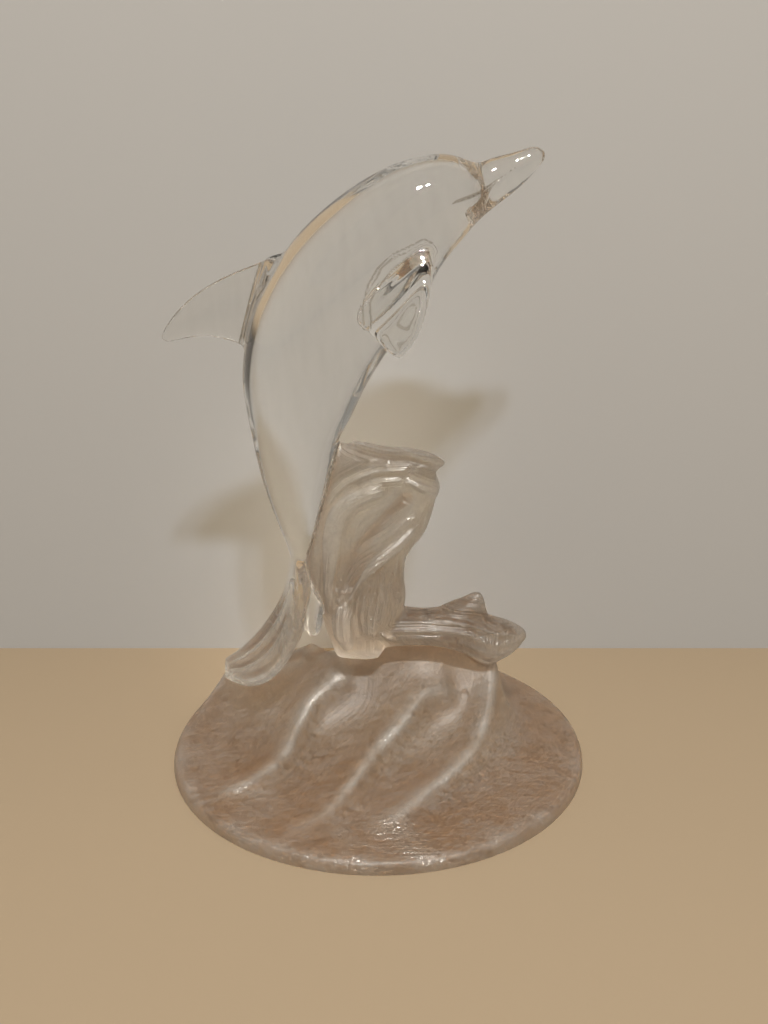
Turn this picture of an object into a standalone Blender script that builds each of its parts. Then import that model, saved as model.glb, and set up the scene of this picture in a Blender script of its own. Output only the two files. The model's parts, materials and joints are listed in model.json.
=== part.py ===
"""A dolphin leaping out of a wave, pressed in one piece of clear glass.

The dolphin is polished. The wave and its round foot have a satin finish.
X runs the way the beak points, Y runs away from the dolphin's right flank, and
Z runs up. The origin is the middle of the flat underside.
"""
import bmesh
import bpy
import numpy as np
from mathutils import Matrix, Vector

MM = 0.001

# The round foot.
FOOT_RADIUS = 55 * MM
FOOT_THICKNESS = 3 * MM
FOOT_EDGE_ROUNDING = 1.8 * MM

# The swell of water that covers the foot and carries the figure.
SWELL_HEIGHT = 25 * MM
SWELL_CREST_SOFTNESS = 0.5
SWELL_FRONT_RUN = 8 * MM
SWELL_REAR_RUN = 12 * MM
SWELL_END_RUN = 3 * MM
SWELL_RIM_MARGIN = 4 * MM
FIGURE_BEDDING = 3 * MM

# The folds of water that run down from the crest.
FOLD_HEIGHT = 7 * MM
FOLD_STEEP_SIDE = 3 * MM
FOLD_GENTLE_SIDE = 7 * MM

# The dolphin's mid-plane lies this far behind the middle of the foot.
MIDPLANE = 6 * MM
BODY_WIDTH = 26 * MM
DORSAL_FIN_THICKNESS = 3.4 * MM
FLIPPER_THICKNESS = 3.6 * MM
FLUKE_THICKNESS = 4.2 * MM

# The wave that stands under the belly, and the crest that breaks off to its right.
WAVE_THICKNESS = 18 * MM
WAVE_OVERLAP = 2 * MM
BREAKER_DEPTH = 13 * MM
SPUR_THICKNESS = 8 * MM

# Rounded ribs of running water, by their radius.
WAVE_RIB = 1.2 * MM
BREAKER_RIB = 0.9 * MM
FLUKE_RIB = 1.0 * MM

# How finely the form is made.
BLEND_CELL = 0.9 * MM
BLEND_PASSES = 5
TRIANGLES = 10500
FOOT_CELLS = 72
TRIM_DEPTH = 3 * MM

GLASS_COLOUR = (0.86, 0.87, 0.84, 1.0)
GLASS_ROUGHNESS = 0.12

# All slices of the figure are in millimetres, with heights over its bedding in the
# swell. These go across the dolphin from the beak's tip to the tail: the back's point
# and the belly's point, each along X and up, and the share of the width.
BODY = [
    (39.3, 128.2, 39.5, 126.6, 0.07),
    (37.0, 129.2, 37.4, 123.9, 0.18),
    (32.0, 128.0, 33.4, 119.9, 0.24),
    (27.5, 126.9, 30.2, 117.4, 0.30),
    (23.2, 125.7, 27.0, 115.0, 0.38),
    (19.0, 127.0, 24.2, 112.6, 0.56),
    (14.0, 127.6, 20.8, 108.8, 0.73),
    (3.2, 125.1, 15.0, 101.5, 0.91),
    (-9.5, 117.9, 9.8, 90.8, 0.99),
    (-21.5, 106.8, 2.0, 81.0, 1.00),
    (-30.2, 92.5, -2.8, 73.3, 0.95),
    (-33.9, 76.0, -6.6, 65.5, 0.85),
    (-32.3, 61.0, -10.2, 58.5, 0.72),
    (-29.6, 47.5, -13.0, 46.8, 0.57),
    (-27.0, 39.0, -14.9, 38.6, 0.43),
    (-24.6, 32.0, -16.4, 32.0, 0.31),
    (-23.2, 26.5, -17.3, 26.5, 0.25),
    (-22.9, 20.0, -17.4, 20.0, 0.27),
]

# Slices across the dorsal fin from its root to its tip: leading edge, trailing edge
# and share of the thickness.
DORSAL_FIN = [
    (-19.0, 104.0, -28.0, 80.0, 1.5),
    (-28.6, 102.9, -35.2, 83.5, 1.0),
    (-36.0, 100.6, -39.8, 84.9, 0.9),
    (-43.0, 97.2, -44.6, 85.1, 0.8),
    (-49.0, 92.2, -49.4, 84.3, 0.65),
    (-52.6, 87.4, -52.2, 83.8, 0.5),
    (-53.8, 85.2, -53.4, 84.2, 0.3),
]

# Slices across a flipper from its root to its tip: leading edge and trailing edge, each
# along X, out from the mid-plane and up, and the share of the thickness.
FLIPPER = [
    (12.0, 4.0, 106.0, -2.5, 6.5, 90.5, 2.6),
    (13.0, 8.5, 106.0, -3.0, 11.5, 89.8, 2.3),
    (13.0, 11.5, 103.0, -2.0, 14.5, 87.8, 1.4),
    (12.4, 14.5, 98.5, -0.4, 17.0, 86.3, 1.0),
    (11.2, 17.8, 93.0, 1.2, 19.0, 84.8, 0.85),
    (9.2, 20.3, 87.6, 2.9, 20.8, 83.4, 0.65),
    (6.2, 22.0, 83.6, 4.6, 22.0, 82.6, 0.4),
]

# Slices across the two flukes from the tail outwards: near edge and far edge, each
# along X, back from the mid-plane and up, and the share of the thickness.
LEFT_FLUKE = [
    (-19.5, -3.0, 28.0, -21.0, 3.0, 28.5, 1.2),
    (-20.4, -6.5, 19.8, -22.8, 5.0, 21.5, 1.15),
    (-22.6, -8.5, 12.5, -25.2, 6.0, 14.8, 1.1),
    (-26.2, -8.5, 5.0, -29.0, 7.5, 8.0, 1.05),
    (-31.2, -6.5, -1.4, -33.6, 9.0, 1.4, 1.0),
    (-37.4, -2.5, -6.0, -38.8, 10.5, -4.2, 0.9),
    (-43.4, 4.0, -9.4, -43.8, 11.5, -8.0, 0.6),
]
RIGHT_FLUKE = [
    (-21.5, 3.0, 28.0, -19.0, -3.0, 28.0, 1.2),
    (-20.2, -1.0, 20.0, -16.6, -5.0, 20.8, 1.1),
    (-19.4, -4.0, 14.0, -15.0, -8.0, 15.5, 1.0),
    (-18.8, -6.5, 10.2, -15.0, -10.0, 11.8, 0.8),
    (-17.8, -8.0, 8.0, -16.0, -9.6, 9.0, 0.5),
]

# The ribs on a fluke, each by its share of the way from the near edge to the far one.
FLUKE_RIBS = [0.2, 0.48, 0.78]

# Slices up the wave under the belly, from its rounded foot to its thin lip. The left
# edge keeps to the belly where the last value is 1. Otherwise it is as written.
WAVE = [
    (-11.0, -7.0, 2.0, 0.0, -7.0, 1.5, 0.45, 0),
    (-13.5, -3.0, 6.5, 4.0, -4.0, 7.0, 0.9, 0),
    (-16.0, -1.0, 15.0, 7.2, -2.0, 16.0, 1.0, 0),
    (-17.0, 0.0, 25.0, 6.8, -1.0, 26.0, 0.95, 1),
    (-16.5, 0.5, 35.0, 11.5, -0.5, 34.5, 0.9, 1),
    (-14.5, 1.0, 44.0, 14.8, -1.0, 43.0, 0.82, 1),
    (-12.5, 1.0, 52.0, 16.6, -2.5, 50.0, 0.65, 1),
    (-9.0, 1.0, 56.5, 17.4, -5.0, 54.0, 0.35, 1),
    (-7.5, 1.0, 58.4, 17.0, -6.0, 54.8, 0.14, 1),
]

# Ribs of running water on the faces of the wave, each from its upper end down, along X
# and up.
WAVE_RIBS = [
    [(12.5, 47.0), (7.5, 49.5), (3.0, 50.5), (-3.0, 49.5), (-9.0, 47.0), (-13.0, 42.0)],
    [(11.5, 44.0), (6.0, 46.0), (0.0, 45.5), (-5.5, 43.0), (-9.5, 38.5), (-11.5, 33.0)],
    [(13.0, 48.5), (11.0, 44.5), (8.5, 40.0), (4.5, 36.0), (0.0, 32.0), (-4.0, 26.0), (-6.0, 20.0)],
    [(9.0, 36.0), (5.0, 32.0), (1.0, 29.0), (-2.0, 24.0), (-3.0, 18.0), (-3.0, 12.0)],
    [(6.0, 30.0), (3.5, 26.0), (1.0, 21.0), (-0.5, 15.5), (-1.0, 11.0)],
    [(-10.0, 57.0), (-12.5, 49.0), (-14.0, 40.0), (-14.5, 31.0), (-13.5, 22.0), (-11.5, 14.0)],
]

# Slices along the breaking crest, from the wave to its blunt tip: top edge, bottom
# edge and share of the depth.
BREAKER = [
    (-4.0, -1.0, 13.0, -4.0, -1.0, 2.0, 1.0),
    (6.0, -1.0, 13.4, 6.0, -1.5, 3.0, 1.0),
    (12.0, -1.0, 13.0, 12.0, -2.0, 3.2, 0.95),
    (18.0, -1.0, 13.4, 18.0, -2.0, 2.4, 0.95),
    (24.0, -1.0, 13.0, 23.0, -1.5, 0.6, 1.0),
    (30.0, -0.5, 10.8, 29.0, -0.5, -3.0, 0.95),
    (35.0, 0.0, 9.2, 33.6, 0.0, -1.6, 0.75),
    (39.0, 0.5, 7.0, 38.0, 0.5, 1.6, 0.45),
    (40.4, 0.5, 5.4, 40.0, 0.5, 3.6, 0.2),
]

# The ribs on the breaking crest, each by its share of the way from top to bottom edge.
BREAKER_RIBS = [0.22, 0.42, 0.62, 0.8]

# Slices up the small pointed spur on the breaking crest: left edge, right edge and
# share of the thickness.
SPUR = [
    (12.0, 9.0, 30.6, 9.0, 1.2),
    (16.5, 13.4, 29.2, 12.4, 1.0),
    (22.6, 16.2, 28.4, 15.6, 0.6),
    (25.2, 17.7, 27.6, 17.5, 0.3),
]

# Lines on the foot, in shares of its radius. The last value is the share of the
# crest's height, or of a fold's height.
CREST = [
    (-0.80, 0.47, 0.32),
    (-0.68, 0.38, 0.42),
    (-0.47, 0.24, 0.60),
    (-0.22, 0.17, 0.80),
    (0.07, 0.17, 0.98),
    (0.36, 0.18, 1.00),
    (0.55, 0.18, 0.78),
]
FOLDS = [
    [(-0.17, 0.05, 0.6), (-0.32, -0.04, 1.0), (-0.38, -0.16, 0.95), (-0.44, -0.34, 0.7),
     (-0.55, -0.46, 0.5), (-0.66, -0.53, 0.3), (-0.79, -0.54, 0.0)],
    [(0.33, -0.02, 0.6), (0.22, -0.06, 1.0), (0.10, -0.19, 0.95), (-0.02, -0.34, 0.8),
     (-0.10, -0.50, 0.6), (-0.17, -0.63, 0.45), (-0.26, -0.74, 0.3), (-0.42, -0.82, 0.0)],
    [(0.60, 0.15, 1.0), (0.55, -0.04, 1.0), (0.48, -0.22, 0.8), (0.36, -0.41, 0.6),
     (0.24, -0.54, 0.45), (0.11, -0.69, 0.3), (-0.04, -0.82, 0.0)],
    [(-0.35, 0.26, 0.8), (-0.44, 0.42, 1.0), (-0.36, 0.60, 0.8), (-0.24, 0.78, 0.0)],
    [(0.06, 0.24, 0.8), (-0.04, 0.42, 1.0), (0.04, 0.62, 0.8), (0.18, 0.84, 0.0)],
    [(0.42, 0.26, 0.8), (0.40, 0.42, 0.9), (0.50, 0.56, 0.7), (0.62, 0.66, 0.0)],
]


def remove_scene_objects():
    for thing in list(bpy.data.objects):
        bpy.data.objects.remove(thing, do_unlink=True)


def smooth_rows(rows, steps):
    """Put a smooth curve through rows of numbers and read it at even steps."""
    rows = np.array(rows, dtype=float)
    gaps = np.sqrt(np.linalg.norm(np.diff(rows[:, :-1], axis=0), axis=1))
    places = np.concatenate([[0.0], np.cumsum(gaps)])
    slopes = np.gradient(rows, places, axis=0)
    smooth = []
    for place in np.linspace(0.0, places[-1], steps):
        k = min(np.searchsorted(places, place, side="right") - 1, len(rows) - 2)
        gap = places[k + 1] - places[k]
        t = (place - places[k]) / gap
        smooth.append(
            (2 * t**3 - 3 * t**2 + 1) * rows[k]
            + (t**3 - 2 * t**2 + t) * gap * slopes[k]
            + (3 * t**2 - 2 * t**3) * rows[k + 1]
            + (t**3 - t**2) * gap * slopes[k + 1]
        )
    return np.array(smooth)


def loft(form, slices, steps, sides):
    """Add a closed form through oval slices, given in metres.

    A slice is one edge's point, the other edge's point and the full thickness,
    which lies square to the edges and to the way the form runs.
    """
    smooth = smooth_rows(slices, steps)
    centres = (smooth[:, 0:3] + smooth[:, 3:6]) / 2
    runs = np.gradient(centres, axis=0)
    last_ring = None
    for number, (row, centre, run) in enumerate(zip(smooth, centres, runs)):
        half_chord = Vector(row[0:3] - row[3:6]) / 2
        across = half_chord.cross(Vector(run)).normalized()
        half_thick = across * row[6] / 2
        along = half_chord.cross(half_thick).normalized()
        place = Matrix((half_chord, half_thick, along)).transposed().to_4x4()
        place.translation = Vector(centre)
        is_end = number in (0, steps - 1)
        made = bmesh.ops.create_circle(
            form, cap_ends=is_end, segments=sides, radius=1.0, matrix=place
        )
        ring = {edge for vert in made["verts"] for edge in vert.link_edges}
        if last_ring:
            bmesh.ops.bridge_loops(form, edges=list(last_ring | ring))
        last_ring = ring


def figure_point(x, out, z):
    """A point given in millimetres from the mid-plane and the bedding, in metres."""
    bedding = FOOT_THICKNESS + SWELL_HEIGHT - FIGURE_BEDDING
    return (x * MM, MIDPLANE + out * MM, bedding + z * MM)


def flat_slices(rows, thickness):
    """Slices whose two edges both lie on the mid-plane."""
    return [
        (*figure_point(ax, 0, az), *figure_point(bx, 0, bz), share * thickness)
        for ax, az, bx, bz, share in rows
    ]


def free_slices(rows, thickness, side=1):
    """Slices whose edges lie anywhere, mirrored across the mid-plane by side."""
    return [
        (
            *figure_point(ax, side * ay, az),
            *figure_point(bx, side * by, bz),
            share * thickness,
        )
        for ax, ay, az, bx, by, bz, share in rows
    ]


def belly_at(height):
    """Where the belly lies along X at a height over the bedding, in millimetres."""
    smooth = smooth_rows(BODY, 120)
    lower = smooth[smooth[:, 3] < BODY[9][3]]
    return np.interp(height, lower[::-1, 3], lower[::-1, 2])


def wave_slices():
    rows = []
    for ax, ay, az, bx, by, bz, share, keeps_to_belly in WAVE:
        left = belly_at(az) - WAVE_OVERLAP / MM if keeps_to_belly else ax
        rows.append((left, ay, az, bx, by, bz, share))
    return free_slices(rows, WAVE_THICKNESS)


def spur_slices():
    rows = [(ax, -1.0, az, bx, -1.0, bz, share) for ax, az, bx, bz, share in SPUR]
    return free_slices(rows, SPUR_THICKNESS)


def add_rib(form, points, radius):
    """Add a round rib along a line, thinner towards both of its ends."""
    points = np.array(points)
    runs = np.gradient(points, axis=0)
    swell = np.sin(np.pi * np.linspace(0.06, 0.94, len(points))) ** 0.6
    slices = []
    for point, run, size in zip(points, runs, swell):
        across = np.cross(run, (0.0, 1.0, 0.0))
        across *= radius * size / np.linalg.norm(across)
        slices.append((*(point + across), *(point - across), 2 * radius * size))
    loft(form, slices, 4 * len(points), 10)


def add_face_rib(form, slices, share, radius, side):
    """Add a rib along one face of a lofted form, at a share of the way across it."""
    smooth = smooth_rows(slices, 14)
    starts, ends, thick = smooth[:, 0:3], smooth[:, 3:6], smooth[:, 6]
    middles = starts + share * (ends - starts)
    runs = np.gradient((starts + ends) / 2, axis=0)
    normals = np.cross(starts - ends, runs)
    normals /= np.linalg.norm(normals, axis=1)[:, None]
    lift = side * thick * np.sqrt(share * (1 - share))
    points = middles + normals * lift[:, None]
    add_rib(form, points[1:-1], radius)


def add_wave_ribs(form):
    """Add the ribs of running water to both faces of the wave."""
    smooth = smooth_rows(wave_slices(), 60)
    heights = (smooth[:, 2] + smooth[:, 5]) / 2
    for side in (-1, 1):
        for line in WAVE_RIBS:
            points = []
            for x, z in line:
                x, _, z = figure_point(x, 0, z)
                left, left_y, _, right, right_y, _, thick = (
                    np.interp(z, heights, column) for column in smooth.T
                )
                share = np.clip((x - left) / (right - left), 0, 1)
                middle = left_y + share * (right_y - left_y)
                y = middle + side * thick * np.sqrt(share * (1 - share))
                points.append((x, y, z))
            add_rib(form, points, WAVE_RIB)


def beside_line(line, x, y):
    """Where each point lies from a line: how far across it and how far past its
    ends, on which side, and the line's own value at the nearest place."""
    distance = np.full(x.shape, np.inf)
    past = np.zeros(x.shape)
    side = np.zeros(x.shape)
    value = np.zeros(x.shape)
    last = len(line) - 2
    for number, (start, end) in enumerate(zip(line, line[1:])):
        run_x, run_y = end[0] - start[0], end[1] - start[1]
        length = np.hypot(run_x, run_y)
        from_x, from_y = x - start[0], y - start[1]
        t = (from_x * run_x + from_y * run_y) / length**2
        before = np.maximum(-t, 0) if number == 0 else 0
        beyond = np.maximum(t - 1, 0) if number == last else 0
        t = np.clip(t, 0, 1)
        gap = np.hypot(from_x - t * run_x, from_y - t * run_y)
        nearer = gap < distance
        distance = np.where(nearer, gap, distance)
        past = np.where(nearer, (before + beyond) * length, past)
        side = np.where(nearer, np.sign(run_x * from_y - run_y * from_x), side)
        value = np.where(nearer, start[2] + t * (end[2] - start[2]), value)
    across = np.sqrt(np.maximum(distance**2 - past**2, 0))
    return across, past, side, value


def foot_line(points):
    return smooth_rows(points, 8 * len(points)) * (FOOT_RADIUS, FOOT_RADIUS, 1.0)


def foot_surface(x, y):
    """Height of the foot's upper face, with the swell and its folds."""
    inward = FOOT_RADIUS - np.hypot(x, y)
    across, past, side, share = beside_line(foot_line(CREST), x, y)
    run = np.where(side < 0, SWELL_FRONT_RUN, SWELL_REAR_RUN)
    reach = np.hypot(across / run, past / SWELL_END_RUN)
    drop = np.hypot(reach, SWELL_CREST_SOFTNESS) - SWELL_CREST_SOFTNESS
    rise = SWELL_HEIGHT * share * np.exp(-drop)
    for points in FOLDS:
        across, past, side, share = beside_line(foot_line(points), x, y)
        slope = np.where(side > 0, FOLD_STEEP_SIDE, FOLD_GENTLE_SIDE)
        reach = np.hypot(across / slope, past / FOLD_STEEP_SIDE)
        rise = rise + FOLD_HEIGHT * share * np.exp(-(reach**1.5))
    margin = np.clip(inward / SWELL_RIM_MARGIN, 0, 1)
    rise = rise * margin**2 * (3 - 2 * margin)
    curl = np.clip(1 - inward / FOOT_EDGE_ROUNDING, 0, 1)
    return FOOT_THICKNESS - FOOT_EDGE_ROUNDING * (1 - np.sqrt(1 - curl**2)) + rise


def add_foot(form):
    """Add the foot as a round sheet with its upper face shaped, closed below."""
    made = bmesh.ops.create_grid(
        form, x_segments=FOOT_CELLS, y_segments=FOOT_CELLS, size=1.0
    )
    top = made["verts"]
    u, v = np.array([vert.co.xy for vert in top]).T
    x = FOOT_RADIUS * u * np.sqrt(1 - v**2 / 2)
    y = FOOT_RADIUS * v * np.sqrt(1 - u**2 / 2)
    for vert, place in zip(top, zip(x, y, foot_surface(x, y))):
        vert.co = place
    faces = list({face for vert in top for face in vert.link_faces})
    lower = bmesh.ops.extrude_face_region(form, geom=faces)["geom"]
    for item in lower:
        if isinstance(item, bmesh.types.BMVert):
            item.co.z = -TRIM_DEPTH


def glass_material():
    material = bpy.data.materials.new("glass")
    material.use_nodes = True
    shader = material.node_tree.nodes["Principled BSDF"]
    shader.inputs["Base Color"].default_value = GLASS_COLOUR
    shader.inputs["Roughness"].default_value = GLASS_ROUGHNESS
    shader.inputs["Metallic"].default_value = 0.0
    shader.inputs["Transmission Weight"].default_value = 0.9
    return material


def evaluated_mesh(thing):
    graph = bpy.context.evaluated_depsgraph_get()
    return bpy.data.meshes.new_from_object(thing.evaluated_get(graph))


def blend_forms(thing):
    """Melt the overlapping forms into one skin with soft joins between them."""
    remesh = thing.modifiers.new("one skin", "REMESH")
    remesh.mode = "VOXEL"
    remesh.voxel_size = BLEND_CELL
    soften = thing.modifiers.new("soft joins", "SMOOTH")
    soften.factor = 0.5
    soften.iterations = BLEND_PASSES
    thing.data = evaluated_mesh(thing)
    thing.modifiers.clear()
    thin_out = thing.modifiers.new("fewer faces", "DECIMATE")
    thin_out.ratio = TRIANGLES / (2 * len(thing.data.polygons))
    thing.data = evaluated_mesh(thing)
    thing.modifiers.clear()


def grind_flat(thing):
    """Cut the underside off level and close it."""
    form = bmesh.new()
    form.from_mesh(thing.data)
    everything = form.verts[:] + form.edges[:] + form.faces[:]
    cut = bmesh.ops.bisect_plane(
        form, geom=everything, plane_co=(0, 0, 0), plane_no=(0, 0, 1), clear_inner=True
    )
    rim = [item for item in cut["geom_cut"] if isinstance(item, bmesh.types.BMEdge)]
    bmesh.ops.contextual_create(form, geom=rim)
    bmesh.ops.recalc_face_normals(form, faces=form.faces[:])
    form.to_mesh(thing.data)
    form.free()


def make_figurine():
    form = bmesh.new()
    add_foot(form)
    loft(form, flat_slices(BODY, BODY_WIDTH), 80, 32)
    loft(form, flat_slices(DORSAL_FIN, DORSAL_FIN_THICKNESS), 24, 24)
    loft(form, free_slices(FLIPPER, FLIPPER_THICKNESS, side=-1), 20, 24)
    loft(form, free_slices(FLIPPER, FLIPPER_THICKNESS, side=1), 20, 24)
    left_fluke = free_slices(LEFT_FLUKE, FLUKE_THICKNESS)
    loft(form, left_fluke, 24, 24)
    for share in FLUKE_RIBS:
        add_face_rib(form, left_fluke, share, FLUKE_RIB, side=1)
    loft(form, free_slices(RIGHT_FLUKE, FLUKE_THICKNESS), 16, 24)
    loft(form, wave_slices(), 40, 32)
    add_wave_ribs(form)
    breaker = free_slices(BREAKER, BREAKER_DEPTH)
    loft(form, breaker, 32, 24)
    for share in BREAKER_RIBS:
        for side in (-1, 1):
            add_face_rib(form, breaker, share, BREAKER_RIB, side)
    loft(form, spur_slices(), 16, 24)
    bmesh.ops.recalc_face_normals(form, faces=form.faces[:])
    mesh = bpy.data.meshes.new("dolphin_figurine")
    form.to_mesh(mesh)
    form.free()
    figurine = bpy.data.objects.new("dolphin_figurine", mesh)
    bpy.context.scene.collection.objects.link(figurine)
    blend_forms(figurine)
    grind_flat(figurine)
    figurine.data.shade_smooth()
    figurine.data.set_sharp_from_angle(angle=np.radians(50))
    figurine.data.materials.append(glass_material())
    return figurine


def main():
    remove_scene_objects()
    make_figurine()


main()
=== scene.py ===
# %% [markdown]
# # A glass dolphin leaping out of a wave
# The real thing is pressed in one piece of clear glass. The dolphin is polished until
# nothing but its edges shows. The wave and its round foot have a satin finish, which
# blurs what lies behind. This lesson builds that piece in one mesh and gives it both
# finishes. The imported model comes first, because it fixes the size and the place of
# everything.

# %% Load the frame
import json
import math

import bmesh
import bpy
import numpy as np
from mathutils import Matrix, Vector
from mathutils.bvhtree import BVHTree

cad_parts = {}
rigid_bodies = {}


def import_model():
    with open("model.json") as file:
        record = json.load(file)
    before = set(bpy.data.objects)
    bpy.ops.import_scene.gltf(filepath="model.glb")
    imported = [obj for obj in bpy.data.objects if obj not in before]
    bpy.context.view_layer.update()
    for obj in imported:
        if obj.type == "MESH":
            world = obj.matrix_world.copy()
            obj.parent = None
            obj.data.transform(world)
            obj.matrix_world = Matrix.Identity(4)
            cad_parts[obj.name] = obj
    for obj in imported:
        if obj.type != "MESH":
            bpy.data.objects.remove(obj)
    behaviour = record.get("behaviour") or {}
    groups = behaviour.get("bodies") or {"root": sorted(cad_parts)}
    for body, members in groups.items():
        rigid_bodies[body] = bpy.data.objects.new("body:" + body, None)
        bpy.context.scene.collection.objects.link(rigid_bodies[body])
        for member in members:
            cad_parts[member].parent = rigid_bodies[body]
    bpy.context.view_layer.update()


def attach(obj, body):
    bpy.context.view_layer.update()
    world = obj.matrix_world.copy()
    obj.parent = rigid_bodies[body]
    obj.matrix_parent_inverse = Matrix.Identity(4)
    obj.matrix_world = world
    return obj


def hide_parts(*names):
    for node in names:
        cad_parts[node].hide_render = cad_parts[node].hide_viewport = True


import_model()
MM = 0.001

# %% [markdown]
# ## The camera
# The foot is a true circle, so the ellipse that it makes in a picture tells how high,
# how far and how steeply the camera looked. The camera stands a little above the head
# of the dolphin, close by, and looks down at it.

# %% The camera
CAMERA_PLACE = (1.5 * MM, -228.4 * MM, 135.0 * MM)
CAMERA_PITCH = math.radians(16.66)
CAMERA_LENS = 32.89  # millimetres, for a long side of 36

camera_data = bpy.data.cameras.new("camera")
camera_data.sensor_width = 36
camera_data.lens = CAMERA_LENS
camera_data.clip_start = 10 * MM
camera = bpy.data.objects.new("camera", camera_data)
camera.location = CAMERA_PLACE
camera.rotation_euler = (math.pi / 2 - CAMERA_PITCH, 0, 0)
bpy.context.scene.collection.objects.link(camera)
bpy.context.scene.camera = camera
bpy.context.scene.view_settings.view_transform = "Standard"
print("camera lens:", CAMERA_LENS, "mm")

# %% [markdown]
# ## Node arithmetic
# A finish is mostly sums on positions and noise. The class below wraps one output of a
# node, so that `1 - mask * 0.3` adds the Math nodes by itself. Every other node comes
# from its one method, `node`.


# %% A socket that can be calculated with
class Wire:
    """One output of a node in a material, which works like a number."""

    def __init__(self, tree, socket=None):
        self.tree = tree
        self.socket = socket

    def node(self, kind, settings, inputs, output=0):
        """Add a node, set it up, feed its sockets, and return one of its outputs."""
        made = self.tree.nodes.new("ShaderNode" + kind)
        for name, value in settings.items():
            setattr(made, name, value)
        for name, value in inputs.items():
            if isinstance(value, Wire):
                self.tree.links.new(value.socket, made.inputs[name])
            else:
                made.inputs[name].default_value = value
        return Wire(self.tree, made.outputs[output])

    def maths(self, operation, first, second=0.0):
        return self.node("Math", {"operation": operation}, {0: first, 1: second})

    def __add__(self, other):
        return self.maths("ADD", self, other)

    __radd__ = __add__

    def __sub__(self, other):
        return self.maths("SUBTRACT", self, other)

    def __rsub__(self, other):
        return self.maths("SUBTRACT", other, self)

    def __mul__(self, other):
        return self.maths("MULTIPLY", self, other)

    __rmul__ = __mul__

    def rise(self, start, end):
        """0 below start and 1 above end, with a smooth step between."""
        return self.node(
            "MapRange",
            {"interpolation_type": "SMOOTHSTEP"},
            {"Value": self, "From Min": start, "From Max": end},
        )

    def blend(self, low, high):
        """A colour between two, by this value."""
        return self.node(
            "Mix", {"data_type": "RGBA"}, {0: self, 6: low, 7: high}, output=2
        )


print("sockets can now be added, subtracted, multiplied, stepped and blended")


# %% A new material
def new_material(name):
    """Return a bare material, its tree as a Wire, and its output node."""
    material = bpy.data.materials.new(name)
    material.use_nodes = True
    material.node_tree.nodes.clear()
    tree = Wire(material.node_tree)
    output = material.node_tree.nodes.new("ShaderNodeOutputMaterial")
    return material, tree, output


def srgb(red, green, blue):
    """A colour given as 0 to 255 in sRGB, as the linear RGBA that nodes take."""
    channels = [value / 255 for value in (red, green, blue)]
    linear = [
        value / 12.92 if value <= 0.04045 else ((value + 0.055) / 1.055) ** 2.4
        for value in channels
    ]
    return (*linear, 1.0)


print("a middle grey in linear light:", round(srgb(128, 128, 128)[0], 3))

# %% [markdown]
# ## The studio
# Glass shows its surroundings, so these matter as much as its own finish. A pale wall
# stands close behind the figure and a pale floor runs under it. Two small lamps above
# and behind the camera give the glints and the shadows, and a soft ceiling fills in. Low
# down, the room is darker, and that draws the grey lines at the edges of clear glass.
# The wall is one-sided, so that it never hides the figure from behind.

# %% Floor and wall
FLOOR_SIZE = 4.0
FLOOR_GAP = 0.05 * MM
WALL_DISTANCE = 62 * MM
FLOOR_COLOUR = srgb(163, 145, 121)
WALL_COLOUR = srgb(174, 173, 171)
MATT_ROUGHNESS = 0.9
MATT_GLOSS = 0.1


def matt_material(name, colour, one_sided=False):
    material, tree, output = new_material(name)
    look = {
        "Base Color": colour,
        "Roughness": MATT_ROUGHNESS,
        "Specular IOR Level": MATT_GLOSS,
    }
    paint = tree.node("BsdfPrincipled", {}, look)
    if one_sided:
        back = tree.node("NewGeometry", {}, {}, output="Backfacing")
        clear = tree.node("BsdfTransparent", {}, {})
        paint = tree.node("MixShader", {}, {0: back, 1: paint, 2: clear})
    material.node_tree.links.new(paint.socket, output.inputs["Surface"])
    return material


def stage_sheet(name, material, place):
    form = bmesh.new()
    bmesh.ops.create_grid(form, x_segments=1, y_segments=1, size=FLOOR_SIZE / 2)
    bmesh.ops.transform(form, matrix=place, verts=form.verts[:])
    mesh = bpy.data.meshes.new(name)
    form.to_mesh(mesh)
    form.free()
    mesh.materials.append(material)
    sheet = bpy.data.objects.new(name, mesh)
    bpy.context.scene.collection.objects.link(sheet)
    return sheet


floor = stage_sheet(
    "floor",
    matt_material("pale floor", FLOOR_COLOUR),
    Matrix.Translation((0, 0, -FLOOR_GAP)),
)
wall = stage_sheet(
    "wall",
    matt_material("pale wall", WALL_COLOUR, one_sided=True),
    Matrix.Translation((0, WALL_DISTANCE, FLOOR_SIZE / 2 - 1 * MM))
    @ Matrix.Rotation(math.pi / 2, 4, "X"),
)
print("stage:", floor.name, wall.name)

# %% Light
LAMP_PLACES = [Vector((0.025, -0.65, 0.94)), Vector((0.117, -0.65, 0.94))]
LAMP_AIM = Vector((0, 0, 80 * MM))
LAMP_SIZE = 50 * MM
LAMP_WATTS = 6.6
LAMP_COLOUR = (1.0, 0.96, 0.90)
CEILING_LIGHT = (0.27, 0.255, 0.23, 1.0)
ROOM_LIGHT = (0.07, 0.06, 0.05, 1.0)
LEFT_LIGHT = (0.17, 0.16, 0.145, 1.0)
TURN_TO_LEFT = (0.1, -0.8)
TURN_TO_CEILING = (0.15, 0.75)
GLASS_BOUNCES = 16

for place in LAMP_PLACES:
    lamp_data = bpy.data.lights.new("lamp", "AREA")
    lamp_data.shape = "DISK"
    lamp_data.size = LAMP_SIZE
    lamp_data.energy = LAMP_WATTS
    lamp_data.color = LAMP_COLOUR
    lamp = bpy.data.objects.new("lamp", lamp_data)
    lamp.location = place
    lamp.rotation_euler = (LAMP_AIM - place).to_track_quat("-Z", "Y").to_euler()
    bpy.context.scene.collection.objects.link(lamp)

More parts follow.
